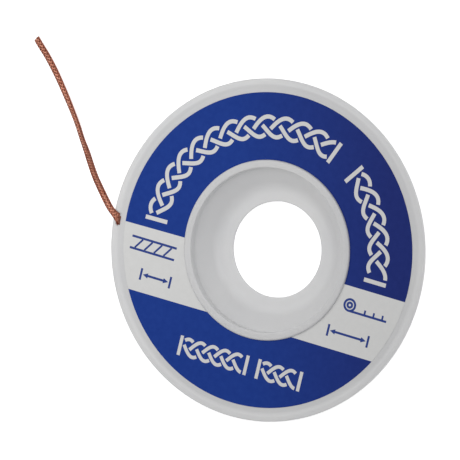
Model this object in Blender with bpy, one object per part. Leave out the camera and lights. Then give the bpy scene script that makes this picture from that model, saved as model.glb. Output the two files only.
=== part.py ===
"""A reel of desoldering braid: a two-part moulded spool, its label, and the braid wound in it.

The reel lies flat with its label up. The Z axis is the reel's own axis, the floor is at zero,
and +X is the right-hand side of the upright label. Every length is in metres.
"""

import math

import bpy

# Rear shell: a shallow cup with a thin edge, a hub tube and a recessed web round the bore
SHELL_TAPER = 0.0035
SHELL_TOP_WALL = 0.0007
SHELL_FLOOR = 0.0012
SHELL_FLOOR_INSET = 0.0008
SHELL_CORNER_FILLET = 0.0016
HUB_WALL = 0.00105
WEB_THICKNESS = 0.0012
WEB_BORE_RADIUS = 0.0087
WEB_BORE_FLARE = 0.0003
SHELL_EDGE_FILLET = 0.0003

# Front disc: a sunk flat for the label between a raised edge and a raised ring, and a dish to the bore
EDGE_RADIUS = 0.02725
EDGE_WIDTH = 0.0014
EDGE_SLOPE = 0.0005
EDGE_RISE = 0.0004
EDGE_DEPTH = 0.0004
EDGE_OUTER_FILLET = 0.0003
EDGE_INNER_FILLET = 0.0005
LAND_WIDTH = 0.00075
LAND_RISE = 0.00015
DISC_TOP = 0.00835
DISC_THICKNESS = 0.0012
DISC_TAPER = 0.0006
RAISED_RING_RADIUS = 0.01415
RAISED_RING_WIDTH = 0.001
RAISED_RING_RISE = 0.00065
RAISED_RING_FILLET = 0.0003
DISH_STEP = 0.0008
DISH_DEPTH = 0.00365
DISH_FLOOR_RADIUS = 0.0101
DISH_CURVE = 0.0006
DISH_WALL = 0.0011
BORE_RADIUS = 0.0075
BORE_FILLET = 0.00025
BORE_FLARE = 0.00045

# Slot in the front disc, through the foot of its raised edge, that the braid comes out of
SLOT_LENGTH = 0.0018
SLOT_WIDTH = 0.0006
SLOT_SETBACK = 0.0005
SLOT_ANGLE = math.radians(184.7)
SLOT_LEAN = math.radians(29.0)

# Label: a thin printed ring on the front disc
LABEL_THICKNESS = 0.00015
LABEL_LIFT = 0.0001
LABEL_EDGE_GAP = 0.0001
LABEL_SIDE_GAP = 0.00015

# Braid: flat plaited copper, wound on the hub in layers
BRAID_WIDTH = 0.00095
BRAID_THICKNESS = 0.00034
COIL_LAYERS = 3
COIL_RUNS = 5
COIL_SIDES = 40
COIL_RIDGE = 0.0001

# Clearances between pieces
SEAT_GAP = 0.0003
FIT_GAP = 0.0003
SHELL_SETBACK = 0.00015

# Numbers of sides
ROUND_SIDES = 64
ARC_STEPS = 2

# Free end of the braid: chosen points along its middle, from the slot over the edge to the floor
TAIL_ROUTE = [
    (-0.0260, -0.0021, 0.0093),
    (-0.0269, -0.0013, 0.0093),
    (-0.0280, -0.0005, 0.0092),
    (-0.0293, 0.0006, 0.0088),
    (-0.0308, 0.0018, 0.0081),
    (-0.0325, 0.0031, 0.0071),
    (-0.0343, 0.0046, 0.0058),
    (-0.0362, 0.0062, 0.0043),
    (-0.0382, 0.0078, 0.0028),
    (-0.0400, 0.0095, 0.0016),
    (-0.0418, 0.0113, 0.0008),
    (-0.0435, 0.0132, 0.0005),
    (-0.0451, 0.0151, 0.0005),
    (-0.0467, 0.0169, 0.0005),
    (-0.0486, 0.0188, 0.0005),
    (-0.0502, 0.0202, 0.0005),
    (-0.0512, 0.0211, 0.0005),
]
TAIL_STEPS = 2

# Colours as seen on the real reel
WHITE_PLASTIC = (0.62, 0.62, 0.63)
LABEL_BLUE = (0.02, 0.05, 0.25)
BRAID_COPPER = (0.55, 0.22, 0.12)


def clear_scene():
    """Remove what a new file holds."""
    for obj in list(bpy.data.objects):
        bpy.data.objects.remove(obj, do_unlink=True)


def make_material(name, colour, roughness, metallic=0.0):
    """Return a Principled material."""
    material = bpy.data.materials.new(name)
    material.use_nodes = True
    shader = material.node_tree.nodes["Principled BSDF"]
    shader.inputs["Base Color"].default_value = (*colour, 1.0)
    shader.inputs["Roughness"].default_value = roughness
    shader.inputs["Metallic"].default_value = metallic
    return material


def add_object(name, data, material):
    """Put mesh or curve data in the scene as a named object with its material."""
    obj = bpy.data.objects.new(name, data)
    bpy.context.scene.collection.objects.link(obj)
    data.materials.append(material)
    return obj


def rounded(corners):
    """Return the points of a closed outline of (radius, height, fillet) corners, fillets as arcs."""
    points = []
    count = len(corners)
    for index, (radius, height, fillet) in enumerate(corners):
        if fillet == 0.0:
            points.append((radius, height))
            continue
        before = corners[index - 1]
        after = corners[(index + 1) % count]
        to_before = math.atan2(before[1] - height, before[0] - radius)
        to_after = math.atan2(after[1] - height, after[0] - radius)
        turn = (to_after - to_before + math.pi) % (2.0 * math.pi) - math.pi
        half = abs(turn) / 2.0
        middle = to_before + turn / 2.0
        centre_r = radius + math.cos(middle) * fillet / math.sin(half)
        centre_z = height + math.sin(middle) * fillet / math.sin(half)
        sweep = math.pi - abs(turn)
        start = middle + math.pi + math.copysign(sweep / 2.0, turn)
        for step in range(ARC_STEPS + 1):
            angle = start - math.copysign(sweep * step / ARC_STEPS, turn)
            points.append((centre_r + fillet * math.cos(angle), centre_z + fillet * math.sin(angle)))
    return points


def turned(name, corners, material, sides=ROUND_SIDES):
    """Turn a closed outline about the Z axis. The outline runs down its outer side."""
    points = rounded(corners)
    vertices = [(radius, 0.0, height) for radius, height in points]
    edges = [(index, (index + 1) % len(points)) for index in range(len(points))]
    mesh = bpy.data.meshes.new(name)
    mesh.from_pydata(vertices, edges, [])
    obj = add_object(name, mesh, material)
    screw = obj.modifiers.new("Turn", "SCREW")
    screw.axis = "Z"
    screw.angle = 2.0 * math.pi
    screw.steps = sides
    screw.render_steps = sides
    screw.use_merge_vertices = True
    screw.merge_threshold = 0.00001
    screw.use_smooth_shade = True
    return obj


# Levels and radii that pieces share
disc_underside = DISC_TOP - DISC_THICKNESS
disc_foot_radius = EDGE_RADIUS - DISC_TAPER
edge_inner_radius = EDGE_RADIUS - EDGE_WIDTH
label_seat_radius = edge_inner_radius - LAND_WIDTH
land_top = DISC_TOP + LAND_RISE
shell_top_radius = disc_foot_radius - SHELL_SETBACK
shell_foot_radius = shell_top_radius - SHELL_TAPER
dish_radius = RAISED_RING_RADIUS - RAISED_RING_WIDTH
dish_outer_radius = dish_radius + DISH_WALL
dish_floor = DISC_TOP - DISH_DEPTH
dish_underside = dish_floor - DISH_WALL
hub_bore_radius = dish_outer_radius + FIT_GAP
hub_radius = hub_bore_radius + HUB_WALL
hub_top = disc_underside - SEAT_GAP
web_top = dish_underside - SEAT_GAP
web_underside = web_top - WEB_THICKNESS


def make_front_disc(material):
    """The upper half of the spool, which carries the label."""
    slope = math.atan2(DISH_DEPTH - DISH_STEP, dish_radius - DISH_FLOOR_RADIUS)
    wall_offset = DISH_WALL * math.tan(slope / 2.0)
    ring_top = DISC_TOP + RAISED_RING_RISE
    edge_top = DISC_TOP + EDGE_RISE
    corners = [
        (RAISED_RING_RADIUS, ring_top, RAISED_RING_FILLET),
        (RAISED_RING_RADIUS, DISC_TOP, 0.0),
        (label_seat_radius, DISC_TOP, 0.0),
        (label_seat_radius, land_top, 0.0),
        (edge_inner_radius, land_top, 0.0),
        (edge_inner_radius + EDGE_SLOPE, edge_top, EDGE_INNER_FILLET),
        (EDGE_RADIUS, edge_top, EDGE_OUTER_FILLET),
        (EDGE_RADIUS, edge_top - EDGE_DEPTH, 0.0),
        (disc_foot_radius, disc_underside, 0.0),
        (dish_outer_radius, disc_underside, 0.0),
        (dish_outer_radius, DISC_TOP - DISH_STEP - wall_offset, 0.0),
        (DISH_FLOOR_RADIUS + wall_offset, dish_underside, DISH_CURVE),
        (BORE_RADIUS + BORE_FLARE, dish_underside, 0.0),
        (BORE_RADIUS, dish_floor, BORE_FILLET),
        (DISH_FLOOR_RADIUS, dish_floor, DISH_CURVE),
        (dish_radius, DISC_TOP - DISH_STEP, DISH_CURVE),
        (dish_radius, ring_top, RAISED_RING_FILLET),
    ]
    disc = turned("front_disc", corners, material)
    cut = disc.modifiers.new("Slot", "BOOLEAN")
    cut.operation = "DIFFERENCE"
    cut.object = make_slot_cutter()
    return disc


def make_slot_cutter():
    """A box as long and wide as the slot, leaning outward, through the disc's whole thickness."""
    bpy.ops.mesh.primitive_cube_add(size=1.0)
    cutter = bpy.context.object
    cutter.name = "slot_cutter"
    radius = edge_inner_radius + SLOT_SETBACK
    cutter.location = (radius * math.cos(SLOT_ANGLE), radius * math.sin(SLOT_ANGLE), land_top)
    cutter.rotation_euler = (0.0, SLOT_LEAN, SLOT_ANGLE)
    cutter.scale = (SLOT_WIDTH, SLOT_LENGTH, DISC_THICKNESS * 4.0)
    cutter.hide_render = True
    cutter.display_type = "WIRE"
    return cutter


def make_rear_shell(material):
    """The lower half of the spool: the cup that the reel rests on, with the hub for the braid."""
    shell_top = disc_underside - SEAT_GAP
    corners = [
        (shell_top_radius, shell_top, 0.0),
        (shell_foot_radius, 0.0, SHELL_CORNER_FILLET),
        (hub_bore_radius, 0.0, SHELL_EDGE_FILLET),
        (hub_bore_radius, web_underside, SHELL_EDGE_FILLET),
        (WEB_BORE_RADIUS + WEB_BORE_FLARE, web_underside, 0.0),
        (WEB_BORE_RADIUS, web_top, 0.0),
        (hub_bore_radius, web_top, 0.0),
        (hub_bore_radius, hub_top, 0.0),
        (hub_radius, hub_top, 0.0),
        (hub_radius, SHELL_FLOOR, 0.0),
        (shell_foot_radius - SHELL_FLOOR_INSET, SHELL_FLOOR, SHELL_EDGE_FILLET),
        (shell_top_radius - SHELL_TOP_WALL, shell_top, 0.0),
    ]
    return turned("rear_shell", corners, material)


def make_front_label(material):
    """The printed ring on the front disc."""
    outer = label_seat_radius - LABEL_EDGE_GAP
    inner = RAISED_RING_RADIUS + LABEL_SIDE_GAP
    bottom = DISC_TOP + LABEL_LIFT
    top = bottom + LABEL_THICKNESS
    corners = [(outer, top, 0.0), (outer, bottom, 0.0), (inner, bottom, 0.0), (inner, top, 0.0)]
    return turned("front_label", corners, material)


def make_braid_coil(material):
    """The wound braid as one turned ring. Each layer is a ridge on both of its ends."""
    inner = hub_radius + FIT_GAP
    bottom = SHELL_FLOOR + SEAT_GAP
    top = bottom + COIL_RUNS * BRAID_WIDTH
    upper = []
    lower = []
    for layer in range(COIL_LAYERS):
        near = inner + layer * BRAID_THICKNESS
        upper.append((near, top - COIL_RIDGE, 0.0))
        upper.append((near + BRAID_THICKNESS / 2.0, top, 0.0))
        lower.append((near, bottom + COIL_RIDGE, 0.0))
        lower.append((near + BRAID_THICKNESS / 2.0, bottom, 0.0))
    outer = inner + COIL_LAYERS * BRAID_THICKNESS
    outer_side = [(outer, top - COIL_RIDGE, 0.0)]
    for run in range(1, COIL_RUNS):
        outer_side.append((outer - COIL_RIDGE, top - run * BRAID_WIDTH, 0.0))
        outer_side.append((outer, top - (run + 0.5) * BRAID_WIDTH, 0.0))
    outer_side.append((outer, bottom + COIL_RIDGE, 0.0))
    return turned("braid_coil", upper + outer_side + lower[::-1], material, COIL_SIDES)


def smooth_route(points, steps):
    """Return points on one smooth curve through the given ones, with steps pieces between each two."""
    route = []
    last = len(points) - 1
    for index in range(last):
        p0 = points[max(index - 1, 0)]
        p1 = points[index]
        p2 = points[index + 1]
        p3 = points[min(index + 2, last)]
        for step in range(steps):
            t = step / steps
            route.append(tuple(
                0.5 * (2.0 * b + (c - a) * t + (2.0 * a - 5.0 * b + 4.0 * c - d) * t ** 2
                       + (3.0 * b - a - 3.0 * c + d) * t ** 3)
                for a, b, c, d in zip(p0, p1, p2, p3)
            ))
    route.append(tuple(points[last]))
    return route


def make_braid_tail(material):
    """The free end of the braid, as a plain round tube of the braid's width."""
    route = smooth_route(TAIL_ROUTE, TAIL_STEPS)
    curve = bpy.data.curves.new("braid_tail", "CURVE")
    curve.dimensions = "3D"
    curve.bevel_depth = BRAID_WIDTH / 2.0
    curve.bevel_resolution = 2
    curve.use_fill_caps = True
    spline = curve.splines.new("POLY")
    spline.points.add(len(route) - 1)
    for point, place in zip(spline.points, route):
        point.co = (*place, 1.0)
    return add_object("braid_tail", curve, material)


def main():
    clear_scene()
    white = make_material("white_plastic", WHITE_PLASTIC, 0.35)
    blue = make_material("printed_label", LABEL_BLUE, 0.3)
    copper = make_material("copper_braid", BRAID_COPPER, 0.4, metallic=1.0)
    make_rear_shell(white)
    make_front_disc(white)
    make_front_label(blue)
    make_braid_coil(copper)
    make_braid_tail(copper)


main()
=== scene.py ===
"""Looks of the desoldering braid reel: smooth mouldings, printed label, woven braid, floor and light.

Lengths are in metres, MM is one millimetre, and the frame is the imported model's: the reel's axis
is Z, the label faces up, and +X is the right-hand side of the upright label.
"""
import math
import random

import bmesh
import bpy
import numpy as np
from mathutils import Matrix, Vector


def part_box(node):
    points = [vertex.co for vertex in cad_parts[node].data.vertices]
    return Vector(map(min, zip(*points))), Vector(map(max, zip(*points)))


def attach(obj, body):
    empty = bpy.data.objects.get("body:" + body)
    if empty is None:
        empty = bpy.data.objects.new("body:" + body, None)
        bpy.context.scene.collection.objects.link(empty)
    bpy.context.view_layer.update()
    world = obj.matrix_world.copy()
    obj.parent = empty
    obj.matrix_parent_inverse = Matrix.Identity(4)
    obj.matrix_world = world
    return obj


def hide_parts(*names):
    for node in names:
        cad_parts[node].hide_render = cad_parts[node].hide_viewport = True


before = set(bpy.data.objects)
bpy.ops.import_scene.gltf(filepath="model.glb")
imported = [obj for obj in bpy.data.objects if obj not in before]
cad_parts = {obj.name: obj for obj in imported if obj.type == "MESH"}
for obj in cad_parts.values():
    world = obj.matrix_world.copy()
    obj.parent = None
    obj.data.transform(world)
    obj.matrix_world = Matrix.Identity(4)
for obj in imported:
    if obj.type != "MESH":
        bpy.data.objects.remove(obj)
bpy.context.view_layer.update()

MM = 0.001
BODY = "root"
disc_low, disc_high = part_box("front_disc")
label_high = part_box("front_label")[1]

# Camera: the label is turned a little in the picture and its upper left is nearer
FRAME_PIXELS = 460
PIXELS_PER_MM = 6.309
LABEL_CENTRE_PIXEL = (266.95, 250.15)
LABEL_TURN = math.radians(15.0)
TILT = math.radians(24.2)
TILT_TOWARDS = math.radians(18.9)
CAMERA_DISTANCE = 1.6
SENSOR_MM = 36.0

# Rear shell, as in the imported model
SHELL_TAPER = 3.5 * MM
SHELL_TOP_WALL = 0.7 * MM
SHELL_FLOOR = 1.2 * MM
SHELL_FLOOR_INSET = 0.8 * MM
SHELL_CORNER_FILLET = 1.6 * MM
SHELL_EDGE_FILLET = 0.3 * MM
HUB_RADIUS = 15.6 * MM
HUB_BORE_RADIUS = 14.55 * MM
HUB_TOP = 6.85 * MM
WEB_TOP = 3.3 * MM
WEB_UNDERSIDE = 2.1 * MM
WEB_BORE_RADIUS = 8.7 * MM
WEB_BORE_FLARE = 0.3 * MM
SEAM = 0.1 * MM
CREASE_FILLET = 0.08 * MM

# Front disc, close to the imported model: its ring, land, slot and fillets are fitted to the photograph
EDGE_RADIUS = disc_high[0]
EDGE_TOP = 8.75 * MM
EDGE_WIDTH = 1.4 * MM
EDGE_SLOPE = 0.5 * MM
EDGE_DEPTH = 0.4 * MM
EDGE_OUTER_FILLET = 0.3 * MM
EDGE_INNER_FILLET = 0.5 * MM
EDGE_FOOT_CURVE = 0.8 * MM
LAND_WIDTH = 0.8 * MM
LAND_TOP = 8.58 * MM
LAND_CURVE = 0.05 * MM
DISC_TOP = 8.35 * MM
DISC_UNDERSIDE = 7.15 * MM
DISC_TAPER = 0.6 * MM
SHELL_SETBACK = 0.15 * MM
RING_TOP = disc_high[2]
RING_RADIUS = 14.35 * MM
RING_OUTER_FILLET = 0.3 * MM
RING_INNER_FILLET = 0.2 * MM
DISH_RADIUS = 13.1 * MM
DISH_STEP = 0.8 * MM
DISH_FLOOR = 4.7 * MM
DISH_FLOOR_RADIUS = 10.1 * MM
DISH_CURVE = 0.35 * MM
DISH_FOOT_CURVE = 3.0 * MM
DISH_WALL = 1.1 * MM
DISH_UNDERSIDE = disc_low[2]
BORE_RADIUS = 7.5 * MM
BORE_FILLET = 0.25 * MM
BORE_FLARE = 0.45 * MM
SLOT_LENGTH = 1.8 * MM
SLOT_WIDTH = 0.6 * MM
SLOT_SETBACK = 0.4 * MM
SLOT_ANGLE = math.radians(184.9)
SLOT_LEAN = math.radians(29.0)
SLOT_CORNER = 0.2 * MM
SLOT_CUT_DEPTH = 6.0 * MM
edge_inner_radius = EDGE_RADIUS - EDGE_WIDTH
disc_foot_radius = EDGE_RADIUS - DISC_TAPER
slot_radius = edge_inner_radius + SLOT_SETBACK
seat_radius = edge_inner_radius - LAND_WIDTH

# Label: a printed ring with a white band across its lower half
LABEL_RADIUS = label_high[0]
LABEL_TOP = label_high[2]
LABEL_EDGE_FILLET = 0.015 * MM
BAND_TOP = -1.65 * MM
BAND_TOP_SLOPE = 0.016
BAND_BOTTOM = -12.22 * MM
BAND_BOTTOM_SLOPE = 0.007
# Painted light and shade: the blue is lighter towards the label's left and darker towards its right, along
# this direction and between these distances
SHADE_TOWARDS = {"X": 0.95, "Y": 0.32}
SHADE_START = -4.0 * MM
SHADE_END = 22.0 * MM

# Painted shade: a darker plastic tone on the land, which starts under the label and fades out on the raised
# edge's slope
SHADE_BLEND = 0.1 * MM
land_shade_from = LABEL_RADIUS - MM

# Printed motifs. A plait has a height, a wave length, a strand width and a gap where strands cross.
# A sign or an arrow has a left end, a middle line, a length and a height.
INK_THICKNESS = 0.012 * MM
INK_OVERLAP = 0.003 * MM
PRINT_SHIFT = -0.27 * MM
ARC_RADIUS = 19.53 * MM
ARC_PLAIT = (3.87 * MM, 9.2 * MM, 0.66 * MM, 0.26 * MM)
LEFT_ARC = (math.radians(182.0), math.radians(66.0))
RIGHT_ARC = (math.radians(54.0), math.radians(-1.0))
LOWER_LINE = -18.65 * MM
LOWER_PLAIT = (3.2 * MM, 6.6 * MM, 0.56 * MM, 0.2 * MM)
LOWER_SPANS = ((-11.0 * MM, 12.4 * MM), (3.0 * MM, 8.0 * MM))
BRAID_SIGN = (-23.2 * MM, -4.9 * MM, 8.0 * MM, 1.9 * MM)
LEFT_ARROW = (-20.4 * MM, -9.5 * MM, 5.6 * MM, 1.9 * MM)
REEL_SIGN = (14.9 * MM, -4.6 * MM, 7.8 * MM, 2.2 * MM)
RIGHT_ARROW = (13.2 * MM, -9.4 * MM, 7.4 * MM, 1.9 * MM)
PLAIT_STEP = 0.12 * MM
PLAIT_INSET = 1.6
BAR_STEPS = 8
SHORTEST_STRAND = 12
SMALL_STROKE = 0.36 * MM
FINE_STROKE = SMALL_STROKE * 0.85
ARROW_HEAD = 0.9 * MM
ARROW_HALF_WIDTH = 0.42 * MM
ARROW_GAP = 0.15 * MM
STRAND_PITCH = 1.6 * MM
STRAND_LEAN = 0.55 * MM
REEL_HUB = 0.42
REEL_STEPS = 40
TICK_LENGTH = 0.8 * MM
TICKS = (0.5, 0.7, 0.9)

# Braid. Its stops are (distance from the slot's mouth in millimetres, value).
BRAID_WIDTH = 1.0 * MM
BRAID_THICKNESS = 0.42 * MM
BRAID_WIDENS = ((-1.5, 1.1), (-0.3, 1.8), (0.05, 1.8), (0.55, 1.18), (1.2, 1.33), (2.0, 1.13), (14.0, 1.1),
                (17.5, 1.0), (26.0, 1.02), (31.0, 1.07))
BRAID_FLATTENS = ((-0.8, 1.0), (-0.3, 0.6), (0.3, 0.6), (2.0, 1.0))
BRAID_TWISTS = ((1.0, 0.0), (5.0, -8.0), (14.0, -2.0), (18.5, 11.0), (22.5, 16.0), (27.0, 6.0), (34.0, 2.0))
BRAID_PITCH = 4.8 * MM
CARRIERS = 8
WIRES_PER_CARRIER = 3
WIRE_RADIUS = 0.046 * MM
WIRE_SPACING = 0.09 * MM
WEAVE_HEIGHT = 0.07 * MM
# Painted shade: the wires of the second lay are darkened to this share, as if that lay faced away from the
# light
SHADED_LAY = 0.6
WIRE_WANDER = 0.03 * MM
WANDER_LENGTH = 5.0 * MM
WIRE_SIDES = 5
WIRE_STEP = 0.115 * MM
WIRE_END_SPREAD = 0.04 * MM
CUT_SLANT = math.tan(math.radians(14.0))
TAIL_ROUTE = [
    (-0.0260, -0.0021, 0.0093),
    (-0.0269, -0.0013, 0.0093),
    (-0.0280, -0.0005, 0.0092),
    (-0.0293, 0.0006, 0.0088),
    (-0.0308, 0.0018, 0.0081),
    (-0.0325, 0.0031, 0.0071),
    (-0.0343, 0.0046, 0.0058),
    (-0.0362, 0.0062, 0.0043),
    (-0.0382, 0.0078, 0.0028),
    (-0.0400, 0.0095, 0.0016),
    (-0.0418, 0.0113, 0.0008),
    (-0.0435, 0.0132, 0.0005),
    (-0.0451, 0.0151, 0.0005),
    (-0.0467, 0.0169, 0.0005),
    (-0.0486, 0.0188, 0.0005),
    (-0.0502, 0.0202, 0.0005),
    (-0.0512, 0.0211, 0.0005),
]

# The flat braid on that route: SETTLE moves it lower, as it is thinner, and a little outward.
# SLOT_RISES are its heights in the slot. Each of LIP_POINTS is a way out, a turn and a rise
# where it bends over the raised edge.
SETTLE = (-0.11 * MM, -0.04 * MM, -0.28 * MM)
SLOT_HUG = 0.1 * MM
SLOT_RISES = (-1.9 * MM, -1.3 * MM, -0.7 * MM, -0.25 * MM)
LIP_POINTS = ((0.02 * MM, math.radians(0.05), -0.06 * MM), (0.22 * MM, math.radians(0.95), 0.19 * MM))
TURNS_SQUARE = (0.3 * MM, 2.6 * MM)
FLOOR_CLEARANCE = 0.01 * MM
CREST_SPREAD = (0.75, 1.0)
CURVE_STEPS = 40
OVAL_STEPS = 720

# Colours, each as the two tones that its surface wanders between
PLASTIC = ((0.685, 0.687, 0.698), (0.715, 0.715, 0.718))
# Painted shade for the land and the raised ring's top
SHADED_PLASTIC = ((0.62, 0.622, 0.633), (0.65, 0.65, 0.653))
# Painted light and shade: the label's blue goes from the first pair on its left to the second towards its
# right
LIT_BLUE = ((0.012, 0.043, 0.262), (0.015, 0.050, 0.286))
SHADED_BLUE = ((0.015, 0.028, 0.174), (0.018, 0.032, 0.190))
LABEL_WHITE = ((0.70, 0.70, 0.695), (0.725, 0.725, 0.72))
WHITE_INK = ((0.69, 0.685, 0.68), (0.72, 0.715, 0.71))
BLUE_INK = ((0.032, 0.06, 0.25), (0.038, 0.07, 0.28))
# Painted highlight on the braid's crests and painted shade in its dips and along its edges
HIGHLIT_COPPER = ((0.95, 0.42, 0.28), (1.0, 0.60, 0.45))
SHADED_COPPER = ((0.24, 0.055, 0.028), (0.34, 0.09, 0.05))
WOUND_COPPER = ((0.25, 0.08, 0.045), (0.68, 0.28, 0.18))
PALE_FLOOR = ((0.90, 0.90, 0.90), (0.92, 0.92, 0.92))

# Floor, round stretches and the seed of the wires' wander
FLOOR_HALF = 3.0
FLOOR_LEVEL = -0.02 * MM
ROUND_SIDES = 256
ARC_STEP = math.radians(12.0)
SEED = 7


def link(obj):
    """Put an object in the scene."""
    bpy.context.scene.collection.objects.link(obj)
    return obj


def finished(obj, slot, material, *nodes):
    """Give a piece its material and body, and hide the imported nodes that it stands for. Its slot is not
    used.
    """
    obj.data.materials.clear()
    obj.data.materials.append(material)
    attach(obj, BODY)
    if nodes:
        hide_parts(*nodes)
    return obj


# Camera

def camera_axes():
    """Return the camera's right, up and back directions."""
    right = Vector((math.cos(LABEL_TURN), math.sin(LABEL_TURN), 0.0))
    up = Vector((-math.sin(LABEL_TURN), math.cos(LABEL_TURN), 0.0))
    hinge = TILT_TOWARDS + math.pi / 2.0
    tilt = Matrix.Rotation(TILT, 3, Vector((math.cos(hinge), math.sin(hinge), 0.0)))
    return tilt @ right, tilt @ up, tilt @ Vector((0.0, 0.0, 1.0))


def make_camera():
    """Place a long lens so that the label's centre falls on its pixel."""
    right, up, back = camera_axes()
    field = FRAME_PIXELS / PIXELS_PER_MM * MM
    half = FRAME_PIXELS / 2.0
    across = (half - LABEL_CENTRE_PIXEL[0]) / PIXELS_PER_MM * MM
    down = (half - LABEL_CENTRE_PIXEL[1]) / PIXELS_PER_MM * MM
    aim = Vector((0.0, 0.0, LABEL_TOP)) + right * across - up * down
    data = bpy.data.cameras.new("camera")
    data.sensor_width = SENSOR_MM
    data.lens = SENSOR_MM * CAMERA_DISTANCE / field
    data.clip_start = 0.05
    data.clip_end = 20.0
    camera = link(bpy.data.objects.new("camera", data))
    turn = Matrix((right, up, back)).transposed().to_4x4()
    camera.matrix_world = Matrix.Translation(aim + back * CAMERA_DISTANCE) @ turn
    bpy.context.scene.camera = camera


# Node helpers

class Nodes:
    """A short way to build a material's node tree."""

    def __init__(self, name):
        self.material = bpy.data.materials.new(name)
        self.material.use_nodes = True
        self.tree = self.material.node_tree
        self.shader = self.tree.nodes["Principled BSDF"]
        self.place = self.tree.nodes.new("ShaderNodeTexCoord").outputs["Object"]

    def set(self, **values):
        """Set the shader's own sockets, with _ for each space."""
        for name, value in values.items():
            self.shader.inputs[name.replace("_", " ")].default_value = value

    def join(self, output, target):
        self.tree.links.new(output, target)

    def noise(self, scale, detail=3.0, roughness=0.55, place=None):
        node = self.tree.nodes.new("ShaderNodeTexNoise")
        node.inputs["Scale"].default_value = scale
        node.inputs["Detail"].default_value = detail
        node.inputs["Roughness"].default_value = roughness
        self.join(place or self.place, node.inputs["Vector"])
        return node.outputs["Fac"]

    def ranged(self, value, low, high, from_low=0.3, from_high=0.7):
        node = self.tree.nodes.new("ShaderNodeMapRange")
        node.inputs["From Min"].default_value = from_low
        node.inputs["From Max"].default_value = from_high
        node.inputs["To Min"].default_value = low
        node.inputs["To Max"].default_value = high
        self.join(value, node.inputs["Value"])
        return node.outputs["Result"]

    def math(self, operation, first, second):
        node = self.tree.nodes.new("ShaderNodeMath")
        node.operation = operation
        for socket, value in zip(node.inputs, (first, second)):
            if isinstance(value, (int, float)):
                socket.default_value = value
            else:
                self.join(value, socket)
        return node.outputs[0]

    def mix(self, factor, first, second):
        node = self.tree.nodes.new("ShaderNodeMix")
        node.data_type = "RGBA"
        self.join(factor, node.inputs["Factor"])
        for socket, value in ((node.inputs["A"], first), (node.inputs["B"], second)):
            if isinstance(value, tuple):
                socket.default_value = (*value, 1.0)
            else:
                self.join(value, socket)
        return node.outputs["Result"]

    def axes(self):
        node = self.tree.nodes.new("ShaderNodeSeparateXYZ")
        self.join(self.place, node.inputs["Vector"])
        return node.outputs

    def attribute(self, name):
        node = self.tree.nodes.new("ShaderNodeAttribute")
        node.attribute_name = name
        return node.outputs["Fac"]

    def bump(self, height, distance, strength=1.0, before=None):
        node = self.tree.nodes.new("ShaderNodeBump")
        node.inputs["Strength"].default_value = strength
        node.inputs["Distance"].default_value = distance
        self.join(height, node.inputs["Height"])
        if before is not None:
            self.join(before, node.inputs["Normal"])
        return node.outputs["Normal"]


def white_plastic():
    """Satin off-white moulded plastic: faint grain and cloudiness, with painted shade on the land and on
    the raised ring's top.
    """
    n = Nodes("white_plastic")
    cloud = n.ranged(n.noise(90.0, 4.0), 0.0, 1.0)
    tone = n.mix(cloud, *PLASTIC)
    shaded_plastic_tone = n.mix(cloud, *SHADED_PLASTIC)
    axes = n.axes()
    squares = [n.math("POWER", axes[name], 2.0) for name in ("X", "Y")]
    out = n.math("SQRT", n.math("ADD", *squares), 0.0)
    # Painted shade: the land and the raised ring's top take the darker tone
    land = n.ranged(out, 1.0, 0.0, edge_inner_radius - SHADE_BLEND, edge_inner_radius + EDGE_SLOPE)
    land = n.math("MULTIPLY", land, n.math("GREATER_THAN", out, land_shade_from))
    ring = n.math("GREATER_THAN", out, DISH_RADIUS)
    ring = n.math("MULTIPLY", ring, n.math("LESS_THAN", out, RING_RADIUS))
    n.join(n.mix(n.math("ADD", land, ring), tone, shaded_plastic_tone), n.shader.inputs["Base Color"])
    n.join(n.ranged(n.noise(700.0, 5.0), 0.30, 0.42), n.shader.inputs["Roughness"])
    grain = n.bump(n.noise(6000.0, 3.0), 0.004 * MM)
    flow = n.bump(n.noise(260.0, 2.0), 0.03 * MM, before=grain)
    n.join(flow, n.shader.inputs["Normal"])
    n.set(Subsurface_Weight=0.25, Subsurface_Scale=0.8 * MM, IOR=1.49)
    n.shader.inputs["Subsurface Radius"].default_value = (1.0, 1.0, 0.95)
    return n.material


def printed_finish(n):
    """The fine satin surface of the label's stock and of its inks."""
    n.join(n.ranged(n.noise(900.0, 3.0), 0.46, 0.56), n.shader.inputs["Roughness"])
    n.join(n.bump(n.noise(1500.0, 3.0), 0.003 * MM), n.shader.inputs["Normal"])
    n.set(Specular_IOR_Level=0.05)


def printed_label():
    """Blue ink on white stock under a thin satin film, with the white band left unprinted."""
    n = Nodes("printed_label")
    axes = n.axes()
    leftward = n.math("MINIMUM", axes["X"], 0.0)
    top = n.math("ADD", n.math("MULTIPLY", leftward, BAND_TOP_SLOPE), BAND_TOP)
    bottom = n.math("ADD", n.math("MULTIPLY", leftward, BAND_BOTTOM_SLOPE), BAND_BOTTOM)
    below_top = n.math("LESS_THAN", axes["Y"], top)
    inside = n.math("MULTIPLY", n.math("GREATER_THAN", axes["Y"], bottom), below_top)
    mottle = n.ranged(n.noise(1200.0, 4.0), 0.0, 1.0)
    # Painted light and shade: the blue darkens towards the label's right-hand side
    towards = [n.math("MULTIPLY", axes[name], share) for name, share in SHADE_TOWARDS.items()]
    blue_shade = n.ranged(n.math("ADD", *towards), 0.0, 1.0, SHADE_START, SHADE_END)
    blue = n.mix(blue_shade, n.mix(mottle, *LIT_BLUE), n.mix(mottle, *SHADED_BLUE))
    n.join(n.mix(inside, blue, n.mix(mottle, *LABEL_WHITE)), n.shader.inputs["Base Color"])
    printed_finish(n)
    return n.material


def ink(name, tones):
    """Printed ink with a slightly uneven tone."""
    n = Nodes(name)
    mottle = n.ranged(n.noise(1400.0, 4.0), 0.0, 1.0)
    n.join(n.mix(mottle, *tones), n.shader.inputs["Base Color"])
    printed_finish(n)
    return n.material


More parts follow.
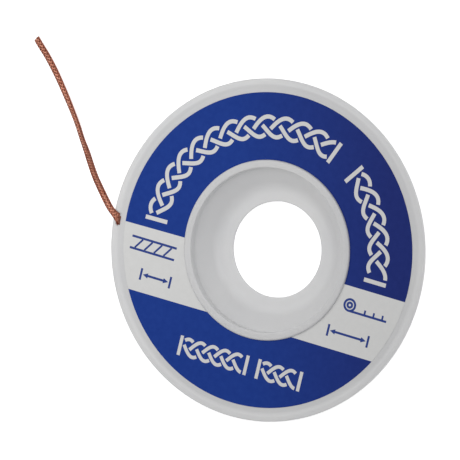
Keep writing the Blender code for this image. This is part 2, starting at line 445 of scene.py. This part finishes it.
def copper_braid():
    """Fluxed copper wire: painted highlights on the crests of the plait, painted shade in its dips and
    along its edges.
    """
    n = Nodes("copper_braid")
    crest = n.ranged(n.attribute("crest"), 0.0, 1.0, 0.1, 0.95)
    # Painted shade: the braid darkens towards its edges, where the wires turn away from the light
    edge = n.ranged(n.attribute("edge"), 1.0, 0.1, 0.5, 0.95)
    tarnish = n.ranged(n.noise(1800.0, 4.0), 0.0, 1.0)
    highlit = n.mix(tarnish, *HIGHLIT_COPPER)
    shaded = n.mix(tarnish, *SHADED_COPPER)
    n.join(n.mix(n.math("MULTIPLY", crest, edge), shaded, highlit), n.shader.inputs["Base Color"])
    n.join(n.ranged(n.noise(5000.0, 3.0), 0.28, 0.42), n.shader.inputs["Roughness"])
    n.join(n.bump(n.noise(16000.0, 2.0), 0.003 * MM), n.shader.inputs["Normal"])
    n.set(Metallic=1.0)
    return n.material


def wound_copper():
    """The winding inside the spool: the same copper with its plait as relief."""
    n = Nodes("wound_copper")
    plait = n.noise(2500.0, 2.0)
    n.join(n.mix(plait, *WOUND_COPPER), n.shader.inputs["Base Color"])
    n.join(n.ranged(n.noise(4000.0, 3.0), 0.3, 0.5), n.shader.inputs["Roughness"])
    n.join(n.bump(plait, 0.05 * MM), n.shader.inputs["Normal"])
    n.set(Metallic=1.0)
    return n.material


# Turned mouldings

def rounded(corners):
    """Return the points of a closed outline of (radius, height, fillet) corners, fillets as arcs."""
    points = []
    count = len(corners)
    for index, (radius, height, fillet) in enumerate(corners):
        before = corners[index - 1]
        after = corners[(index + 1) % count]
        to_before = math.atan2(before[1] - height, before[0] - radius)
        to_after = math.atan2(after[1] - height, after[0] - radius)
        turn = (to_after - to_before + math.pi) % (2.0 * math.pi) - math.pi
        half = abs(turn) / 2.0
        middle = to_before + turn / 2.0
        centre_r = radius + math.cos(middle) * fillet / math.sin(half)
        centre_z = height + math.sin(middle) * fillet / math.sin(half)
        sweep = math.pi - abs(turn)
        start = middle + math.pi + math.copysign(sweep / 2.0, turn)
        steps = max(2, math.ceil(sweep / ARC_STEP))
        for step in range(steps + 1):
            angle = start - math.copysign(sweep * step / steps, turn)
            points.append((centre_r + fillet * math.cos(angle), centre_z + fillet * math.sin(angle)))
    return points


def turned(name, corners):
    """Turn a closed outline, which runs down its outer side, about the Z axis."""
    outline = rounded(corners)
    count = len(outline)
    vertices = []
    for side in range(ROUND_SIDES):
        angle = 2.0 * math.pi * side / ROUND_SIDES
        vertices.extend((radius * math.cos(angle), radius * math.sin(angle), height)
                        for radius, height in outline)
    faces = []
    for side in range(ROUND_SIDES):
        here = side * count
        there = (side + 1) % ROUND_SIDES * count
        for index in range(count):
            after = (index + 1) % count
            faces.append((here + index, here + after, there + after, there + index))
    mesh = bpy.data.meshes.new(name)
    mesh.from_pydata(vertices, [], faces)
    mesh.shade_smooth()
    mesh.validate()
    obj = link(bpy.data.objects.new(name, mesh))
    weighted = obj.modifiers.new("Weighted normals", "WEIGHTED_NORMAL")
    weighted.keep_sharp = True
    return obj


def make_shell(material):
    """The rear half of the spool."""
    shell_top = DISC_UNDERSIDE - SEAM
    top_radius = disc_foot_radius - SHELL_SETBACK
    foot_radius = top_radius - SHELL_TAPER
    corners = [
        (top_radius, shell_top, CREASE_FILLET),
        (foot_radius, 0.0, SHELL_CORNER_FILLET),
        (HUB_BORE_RADIUS, 0.0, SHELL_EDGE_FILLET),
        (HUB_BORE_RADIUS, WEB_UNDERSIDE, SHELL_EDGE_FILLET),
        (WEB_BORE_RADIUS + WEB_BORE_FLARE, WEB_UNDERSIDE, CREASE_FILLET),
        (WEB_BORE_RADIUS, WEB_TOP, CREASE_FILLET),
        (HUB_BORE_RADIUS, WEB_TOP, CREASE_FILLET),
        (HUB_BORE_RADIUS, HUB_TOP, CREASE_FILLET),
        (HUB_RADIUS, HUB_TOP, CREASE_FILLET),
        (HUB_RADIUS, SHELL_FLOOR, CREASE_FILLET),
        (foot_radius - SHELL_FLOOR_INSET, SHELL_FLOOR, SHELL_EDGE_FILLET),
        (top_radius - SHELL_TOP_WALL, shell_top, CREASE_FILLET),
    ]
    return finished(turned("shell_moulding", corners), "white_plastic", material, "rear_shell")


def cut_slot(disc):
    """Cut the leaning slot that the braid comes out of, just inside the raised edge."""
    cutter_mesh = bpy.data.meshes.new("slot_cutter")
    bm = bmesh.new()
    bmesh.ops.create_cube(bm, size=1.0)
    bmesh.ops.scale(bm, vec=(SLOT_WIDTH, SLOT_LENGTH, SLOT_CUT_DEPTH), verts=bm.verts)
    upright = [edge for edge in bm.edges if abs(edge.verts[0].co.z - edge.verts[1].co.z) > SLOT_LENGTH]
    bmesh.ops.bevel(bm, geom=upright, offset=SLOT_CORNER, segments=4, affect="EDGES")
    middle = (slot_radius * math.cos(SLOT_ANGLE), slot_radius * math.sin(SLOT_ANGLE), LAND_TOP)
    turn = Matrix.Rotation(SLOT_ANGLE, 4, "Z") @ Matrix.Rotation(SLOT_LEAN, 4, "Y")
    bmesh.ops.transform(bm, matrix=Matrix.Translation(middle) @ turn, verts=bm.verts)
    bm.to_mesh(cutter_mesh)
    bm.free()
    cutter = link(bpy.data.objects.new("slot_cutter", cutter_mesh))
    cut = disc.modifiers.new("Slot", "BOOLEAN")
    cut.operation = "DIFFERENCE"
    cut.object = cutter
    bpy.context.view_layer.update()
    shaped = bpy.data.meshes.new_from_object(disc.evaluated_get(bpy.context.evaluated_depsgraph_get()))
    disc.modifiers.clear()
    disc.data = shaped
    bpy.data.objects.remove(cutter, do_unlink=True)


def make_disc(material):
    """The front half of the spool."""
    dish_outer = DISH_RADIUS + DISH_WALL
    slope = math.atan2(DISC_TOP - DISH_STEP - DISH_FLOOR, DISH_RADIUS - DISH_FLOOR_RADIUS)
    offset = DISH_WALL * math.tan(slope / 2.0)
    corners = [
        (RING_RADIUS, RING_TOP, RING_OUTER_FILLET),
        (RING_RADIUS, DISC_TOP, LAND_CURVE),
        (seat_radius, DISC_TOP, LAND_CURVE),
        (seat_radius, LAND_TOP, LABEL_EDGE_FILLET),
        (edge_inner_radius, LAND_TOP, EDGE_FOOT_CURVE),
        (edge_inner_radius + EDGE_SLOPE, EDGE_TOP, EDGE_INNER_FILLET),
        (EDGE_RADIUS, EDGE_TOP, EDGE_OUTER_FILLET),
        (EDGE_RADIUS, EDGE_TOP - EDGE_DEPTH, LAND_CURVE),
        (disc_foot_radius, DISC_UNDERSIDE, CREASE_FILLET),
        (dish_outer, DISC_UNDERSIDE, CREASE_FILLET),
        (dish_outer, DISC_TOP - DISH_STEP - offset, CREASE_FILLET),
        (DISH_FLOOR_RADIUS + offset, DISH_UNDERSIDE, DISH_CURVE),
        (BORE_RADIUS + BORE_FLARE, DISH_UNDERSIDE, CREASE_FILLET),
        (BORE_RADIUS, DISH_FLOOR, BORE_FILLET),
        (DISH_FLOOR_RADIUS, DISH_FLOOR, DISH_FOOT_CURVE),
        (DISH_RADIUS, DISC_TOP - DISH_STEP, DISH_CURVE),
        (DISH_RADIUS, RING_TOP, RING_INNER_FILLET),
    ]
    disc = turned("disc_moulding", corners)
    cut_slot(disc)
    return finished(disc, "white_plastic", material, "front_disc")


def make_label(material):
    """The label's stock, a thin ring that fills its seat on the front disc."""
    corners = [
        (seat_radius, LABEL_TOP, LABEL_EDGE_FILLET),
        (seat_radius, DISC_TOP, 0.0),
        (RING_RADIUS, DISC_TOP, 0.0),
        (RING_RADIUS, LABEL_TOP, LABEL_EDGE_FILLET),
    ]
    return finished(turned("label_stock", corners), "printed_label", material, "front_label")


# Printed motifs

def stroke(bm, points, width, lift=0.0):
    """Add a flat band of one width along a line of points. One that crosses others has a lift."""
    pairs = []
    for index, point in enumerate(points):
        before = points[max(index - 1, 0)]
        after = points[min(index + 1, len(points) - 1)]
        along = math.atan2(after[1] - before[1], after[0] - before[0])
        dx = -math.sin(along) * width / 2.0
        dy = math.cos(along) * width / 2.0
        left = bm.verts.new((point[0] + dx, point[1] + dy, LABEL_TOP + lift))
        right = bm.verts.new((point[0] - dx, point[1] - dy, LABEL_TOP + lift))
        pairs.append((left, right))
    for (left, right), (next_left, next_right) in zip(pairs, pairs[1:]):
        bm.faces.new((left, right, next_right, next_left))


def patch(bm, corners):
    """Add one flat shape from its corners, counter-clockwise."""
    bm.faces.new([bm.verts.new((x, y, LABEL_TOP)) for x, y in corners])


def on_arc(radius, start):
    """Return a function that bends a straight strip, run clockwise from the start angle."""
    def bend(along, across):
        angle = start - along / radius
        return (PRINT_SHIFT + (radius + across) * math.cos(angle), (radius + across) * math.sin(angle))
    return bend


def on_line(x, y):
    """Return a function that lays a straight strip out from a point."""
    def lay(along, across):
        return (x + along, y + across)
    return lay


def plait(bm, place, length, shape):
    """Draw a three-strand plait with a bar at each end. A strand is left out where it dips under."""
    height, wave, width, gap = shape
    reach = (height - width) / 2.0
    under = (width / 2.0 + gap) / math.hypot(1.0, reach * 2.0 * math.pi / wave * math.cos(math.pi / 6.0))
    first = width * PLAIT_INSET
    last = length - first
    count = int((last - first) / PLAIT_STEP)
    for strand in range(3):
        line = []
        for index in range(count + 1):
            along = first + (last - first) * index / count
            phase = (along / wave + strand / 3.0) % 1.0
            dips = min(abs(phase - 5.0 / 12.0), abs(phase - 11.0 / 12.0)) * wave
            if dips < under:
                if len(line) > SHORTEST_STRAND:
                    stroke(bm, line, width)
                line = []
            else:
                line.append(place(along, reach * math.sin(2.0 * math.pi * phase)))
        if len(line) > SHORTEST_STRAND:
            stroke(bm, line, width)
    for along in (width / 2.0, length - width / 2.0):
        bar = [place(along, height * (part / BAR_STEPS - 0.5)) for part in range(BAR_STEPS + 1)]
        stroke(bm, bar, width)


def span_arrow(bm, x, y, length, height):
    """Draw a measuring arrow between two end ticks."""
    half = SMALL_STROKE / 2.0
    for end in (x + half, x + length - half):
        stroke(bm, [(end, y - height / 2.0), (end, y + height / 2.0)], SMALL_STROKE)
    left = x + SMALL_STROKE + ARROW_GAP
    right = x + length - SMALL_STROKE - ARROW_GAP
    stroke(bm, [(left + ARROW_HEAD, y), (right - ARROW_HEAD, y)], SMALL_STROKE)
    for tip, back in ((left, left + ARROW_HEAD), (right, right - ARROW_HEAD)):
        side = math.copysign(ARROW_HALF_WIDTH, tip - back)
        patch(bm, [(tip, y), (back, y + side), (back, y - side)])


def flat_braid_sign(bm, x, y, length, height):
    """Draw a short piece of flat braid: two edges with slanting strands between them."""
    half = height / 2.0
    for across in (half, -half):
        stroke(bm, [(x, y + across), (x + length, y + across)], SMALL_STROKE)
    inner = half - SMALL_STROKE / 2.0
    count = int((length - STRAND_LEAN) / STRAND_PITCH)
    for index in range(count):
        middle = x + STRAND_LEAN + (length - 2.0 * STRAND_LEAN) * (index + 0.5) / count
        strand = [(middle - STRAND_LEAN, y - inner), (middle + STRAND_LEAN, y + inner)]
        stroke(bm, strand, FINE_STROKE, INK_OVERLAP)


def reel_sign(bm, x, y, length, height):
    """Draw a small reel with a straight end paid out along its foot."""
    outer = height / 2.0 - SMALL_STROKE / 2.0
    centre = (x + height / 2.0, y)
    for radius in (outer, outer * REEL_HUB):
        ring = []
        for step in range(REEL_STEPS + 1):
            angle = 2.0 * math.pi * step / REEL_STEPS
            ring.append((centre[0] + radius * math.cos(angle), centre[1] + radius * math.sin(angle)))
        stroke(bm, ring, SMALL_STROKE)
    stroke(bm, [(centre[0], y - outer), (x + length, y - outer)], SMALL_STROKE, INK_OVERLAP)
    for part in TICKS:
        tick = x + length * part
        stroke(bm, [(tick, y - outer), (tick, y - outer + TICK_LENGTH)], FINE_STROKE)


def make_print(name, material, draw):
    """Make one printed motif: draw its flat shapes, then give the ink its thickness."""
    bm = bmesh.new()
    draw(bm)
    bmesh.ops.recalc_face_normals(bm, faces=bm.faces)
    flipped = [face for face in bm.faces if face.normal.z < 0.0]
    bmesh.ops.reverse_faces(bm, faces=flipped)
    top = bmesh.ops.extrude_face_region(bm, geom=list(bm.faces), use_keep_orig=True)
    raised = [item for item in top["geom"] if isinstance(item, bmesh.types.BMVert)]
    bmesh.ops.translate(bm, verts=raised, vec=(0.0, 0.0, INK_THICKNESS))
    bmesh.ops.recalc_face_normals(bm, faces=bm.faces)
    mesh = bpy.data.meshes.new(name)
    bm.to_mesh(mesh)
    bm.free()
    return finished(link(bpy.data.objects.new(name, mesh)), "printed_label", material)


def make_prints():
    """The motifs on the label's blue and white fields."""
    white_ink = ink("white_ink", WHITE_INK)
    blue_ink = ink("blue_ink", BLUE_INK)

    def arc_plait(bm, start, end):
        plait(bm, on_arc(ARC_RADIUS, start), (start - end) * ARC_RADIUS, ARC_PLAIT)

    def lower(bm):
        for x, length in LOWER_SPANS:
            plait(bm, on_line(x, LOWER_LINE), length, LOWER_PLAIT)

    def left_field(bm):
        flat_braid_sign(bm, *BRAID_SIGN)
        span_arrow(bm, *LEFT_ARROW)

    def right_field(bm):
        reel_sign(bm, *REEL_SIGN)
        span_arrow(bm, *RIGHT_ARROW)

    make_print("print_upper_left", white_ink, lambda bm: arc_plait(bm, *LEFT_ARC))
    make_print("print_upper_right", white_ink, lambda bm: arc_plait(bm, *RIGHT_ARC))
    make_print("print_lower", white_ink, lower)
    make_print("print_left_field", blue_ink, left_field)
    make_print("print_right_field", blue_ink, right_field)


# Braid

def smooth_line(points, spacing):
    """Return evenly spaced points on one smooth curve through the given ones."""
    knots = np.array(points)
    padded = np.vstack([2.0 * knots[0] - knots[1], knots, 2.0 * knots[-1] - knots[-2]])
    fine = []
    for index in range(len(knots) - 1):
        a, b, c, d = padded[index:index + 4]
        t = np.linspace(0.0, 1.0, CURVE_STEPS, endpoint=False)[:, None]
        fine.append(0.5 * (2.0 * b + (c - a) * t + (2.0 * a - 5.0 * b + 4.0 * c - d) * t ** 2
                           + (3.0 * b - a - 3.0 * c + d) * t ** 3))
    fine = np.vstack(fine + [knots[-1:]])
    run = np.concatenate([[0.0], np.cumsum(np.linalg.norm(np.diff(fine, axis=0), axis=1))])
    count = int(run[-1] / spacing)
    at = np.linspace(0.0, run[-1], count + 1)
    return np.stack([np.interp(at, run, fine[:, axis]) for axis in range(3)], axis=1), at


def braid_line():
    """The braid's middle line, and the distance along it from the slot's mouth.

    It runs up the slot, over the edge, down to the floor and along it.
    """
    points = []
    for rise in SLOT_RISES:
        radius = slot_radius - SLOT_HUG + rise * math.tan(SLOT_LEAN)
        points.append((radius * math.cos(SLOT_ANGLE), radius * math.sin(SLOT_ANGLE), LAND_TOP + rise))
    mouth = np.array(points[-1])
    for out, turn, rise in LIP_POINTS:
        radius = slot_radius - SLOT_HUG + out
        angle = SLOT_ANGLE - turn
        points.append((radius * math.cos(angle), radius * math.sin(angle), EDGE_TOP + rise))
    settled = [tuple(a + b for a, b in zip(point, SETTLE)) for point in TAIL_ROUTE]
    points.extend((x, y, max(z, BRAID_THICKNESS / 2.0)) for x, y, z in settled[1:])
    line, run = smooth_line(points, WIRE_STEP)
    nearest = int(np.argmin(np.linalg.norm(line - mouth, axis=1)))
    return line, run - run[nearest]


def unit(vectors):
    return vectors / np.linalg.norm(vectors, axis=-1, keepdims=True)


def ease(values, start, end):
    """Rise smoothly from 0 at start to 1 at end."""
    t = np.clip((values - start) / (end - start), 0.0, 1.0)
    return t * t * (3.0 - 2.0 * t)


def graded(run, stops):
    """Return a value at each distance that eases from one (millimetres, value) stop to the next."""
    value = np.full_like(run, stops[0][1])
    for (start, low), (end, high) in zip(stops, stops[1:]):
        value = value + (high - low) * ease(run, start * MM, end * MM)
    return value


def braid_frames(line, run):
    """Return the width and face directions along the braid.

    In the slot its width lies along the slot. It turns square to the braid soon after the mouth.
    """
    tangent = unit(np.gradient(line, axis=0))
    along_slot = np.array([math.sin(SLOT_ANGLE), -math.cos(SLOT_ANGLE), 0.0])
    upright = np.array([0.0, 0.0, 1.0])
    flat = unit(np.cross(tangent, upright))
    leaves = ease(run, *TURNS_SQUARE)[:, None]
    width = unit(along_slot * (1.0 - leaves) + flat * leaves)
    face = unit(np.cross(width, tangent))
    twist = np.radians(graded(run, BRAID_TWISTS))[:, None]
    square = unit(np.cross(tangent, face))
    shear = np.sum(width * square, axis=1, keepdims=True)
    width = width / shear
    return width * np.cos(twist) + face * np.sin(twist), face * np.cos(twist) - square * np.sin(twist)


def oval(share, half_width, half_height):
    """Return points and outward directions at equal shares of the way round an oval."""
    around = np.linspace(0.0, 2.0 * math.pi, OVAL_STEPS + 1)
    x, y = BRAID_WIDTH * np.cos(around), BRAID_THICKNESS * np.sin(around)
    way = np.concatenate([[0.0], np.cumsum(np.hypot(np.diff(x), np.diff(y)))])
    angle = np.interp((share % 1.0) * way[-1], way, around)
    out = np.stack([np.cos(angle) / half_width, np.sin(angle) / half_height], axis=-1)
    return half_width * np.cos(angle), half_height * np.sin(angle), unit(out)


def wire_tube(centres, normals):
    """Return the points, quads and two end faces of one round wire."""
    side = np.cross(unit(np.gradient(centres, axis=0)), normals)
    rings = len(centres)
    index = np.arange(rings - 1)
    points, quads = [], []
    for corner in range(WIRE_SIDES):
        angle = 2.0 * math.pi * corner / WIRE_SIDES
        points.append(centres + WIRE_RADIUS * (math.cos(angle) * normals + math.sin(angle) * side))
        here = corner * rings
        there = (corner + 1) % WIRE_SIDES * rings
        quads.append(np.stack([here + index, there + index, there + index + 1, here + index + 1], axis=1))
    first = np.arange(WIRE_SIDES) * rings
    return np.vstack(points), np.vstack(quads), [first, first[::-1] + rings - 1]


def braid_mesh(points, faces, **attributes):
    """Return one mesh of all the wires, kept above the floor, with values for its material."""
    points[:, 2] = np.maximum(points[:, 2], FLOOR_CLEARANCE)
    mesh = bpy.data.meshes.new("woven_braid")
    mesh.from_pydata(points.tolist(), [], faces)
    mesh.shade_smooth()
    for name, values in attributes.items():
        mesh.attributes.new(name, "FLOAT", "POINT").data.foreach_set("value", values)
    bm = bmesh.new()
    bm.from_mesh(mesh)
    bmesh.ops.recalc_face_normals(bm, faces=bm.faces)
    bm.to_mesh(mesh)
    bm.free()
    return mesh


def make_braid(material):
    """The braid's free end as plaited wires."""
    line, run = braid_line()
    width, face = braid_frames(line, run)
    rng = random.Random(SEED)
    half_width = BRAID_WIDTH / 2.0 * graded(run, BRAID_WIDENS) - WIRE_RADIUS
    half_height = (BRAID_THICKNESS / 2.0 - WIRE_RADIUS - WEAVE_HEIGHT) * graded(run, BRAID_FLATTENS)
    way_round = 2.0 * (BRAID_WIDTH + BRAID_THICKNESS)
    crossing = BRAID_PITCH / (2.0 * CARRIERS)
    points, faces, crests, edges = [], [], [], []
    count = 0
    for lay, shade in ((1.0, 1.0), (-1.0, SHADED_LAY)):
        for carrier in range(CARRIERS):
            weave = np.cos(math.pi * ((run / crossing - 1.0 + lay / 2.0) / 2.0 + carrier))
            for wire in range(WIRES_PER_CARRIER):
                wander = WIRE_WANDER * np.sin(2.0 * math.pi * (run / WANDER_LENGTH + rng.random()))
                beside = ((wire - (WIRES_PER_CARRIER - 1) / 2.0) * WIRE_SPACING + wander) / way_round
                share = carrier / CARRIERS + lay * run / BRAID_PITCH + beside
                # Painted light: high where a wire rides over, low where it dips under, and lower on the
                # shaded lay
                crest = (0.5 + 0.5 * weave) * rng.uniform(*CREST_SPREAD) * shade
                across, over, out = oval(share, half_width, half_height)
                end = run[-1] + rng.uniform(-2.0, 0.0) * WIRE_END_SPREAD + CUT_SLANT * across
                keep = run <= end
                centres = line + width * across[:, None]
                centres = centres + face * (over + out[:, 1] * WEAVE_HEIGHT * weave)[:, None]
                normals = unit(width * out[:, :1] + face * out[:, 1:])
                tube, quads, ends = wire_tube(centres[keep], normals[keep])
                points.append(tube)
                faces.extend((quads + count).tolist())
                faces.extend((cap + count).tolist() for cap in ends)
                crests.append(np.tile(crest[keep], WIRE_SIDES))
                # How far out towards the braid's edge each wire lies, which the material uses for painted
                # shade
                edges.append(np.tile(np.abs(across / half_width)[keep], WIRE_SIDES))
                count += len(tube)
    mesh = braid_mesh(np.vstack(points), faces, crest=np.concatenate(crests), edge=np.concatenate(edges))
    obj = link(bpy.data.objects.new("woven_braid", mesh))
    finished(obj, "copper_braid", material, "braid_tail")


# Stage

def make_floor():
    """A pale floor that glows: its own light washes out the reel's shadows and brightens the floor seen
    through the bore.
    """
    n = Nodes("glowing_floor")
    n.join(n.mix(n.noise(3.0, 2.0), *PALE_FLOOR), n.shader.inputs["Base Color"])
    # Painted light: the floor glows, so that shadows on it wash out to white
    n.set(Roughness=0.7, Emission_Strength=0.55)
    n.shader.inputs["Emission Color"].default_value = (1.0, 1.0, 1.0, 1.0)
    mesh = bpy.data.meshes.new("floor")
    quarters = ((-1, -1), (1, -1), (1, 1), (-1, 1))
    corners = [(FLOOR_HALF * x, FLOOR_HALF * y, FLOOR_LEVEL) for x, y in quarters]
    mesh.from_pydata(corners, [], [(0, 1, 2, 3)])
    mesh.materials.append(n.material)
    link(bpy.data.objects.new("floor", mesh))


def area_light(name, direction, distance, size, power, colour):
    """A square soft light that faces the reel."""
    data = bpy.data.lights.new(name, "AREA")
    data.shape = "SQUARE"
    data.size = size
    data.energy = power
    data.color = colour
    light = link(bpy.data.objects.new(name, data))
    light.location = direction.normalized() * distance
    light.rotation_euler = direction.to_track_quat("Z", "Y").to_euler()


def make_light():
    """Soft studio light from above, with a near lamp on the braid's side."""
    area_light("key", Vector((-0.5, 0.12, 1.0)), distance=0.09, size=0.08, power=0.026,
               colour=(1.0, 0.995, 0.985))
    area_light("fill", Vector((0.5, 0.32, 1.0)), distance=1.0, size=0.6, power=2.3,
               colour=(0.985, 0.99, 1.0))
    world = bpy.data.worlds.new("studio")
    world.use_nodes = True
    background = world.node_tree.nodes["Background"]
    background.inputs["Color"].default_value = (1.0, 1.0, 1.0, 1.0)
    background.inputs["Strength"].default_value = 0.38
    bpy.context.scene.world = world
    bpy.context.scene.view_settings.view_transform = "Standard"


def main():
    make_camera()
    make_braid(copper_braid())
    plastic = white_plastic()
    make_shell(plastic)
    make_disc(plastic)
    make_label(printed_label())
    make_prints()
    coil = bpy.data.objects["braid_coil"]
    coil.data.materials.clear()
    coil.data.materials.append(wound_copper())
    make_floor()
    make_light()
    bpy.context.view_layer.update()


main()
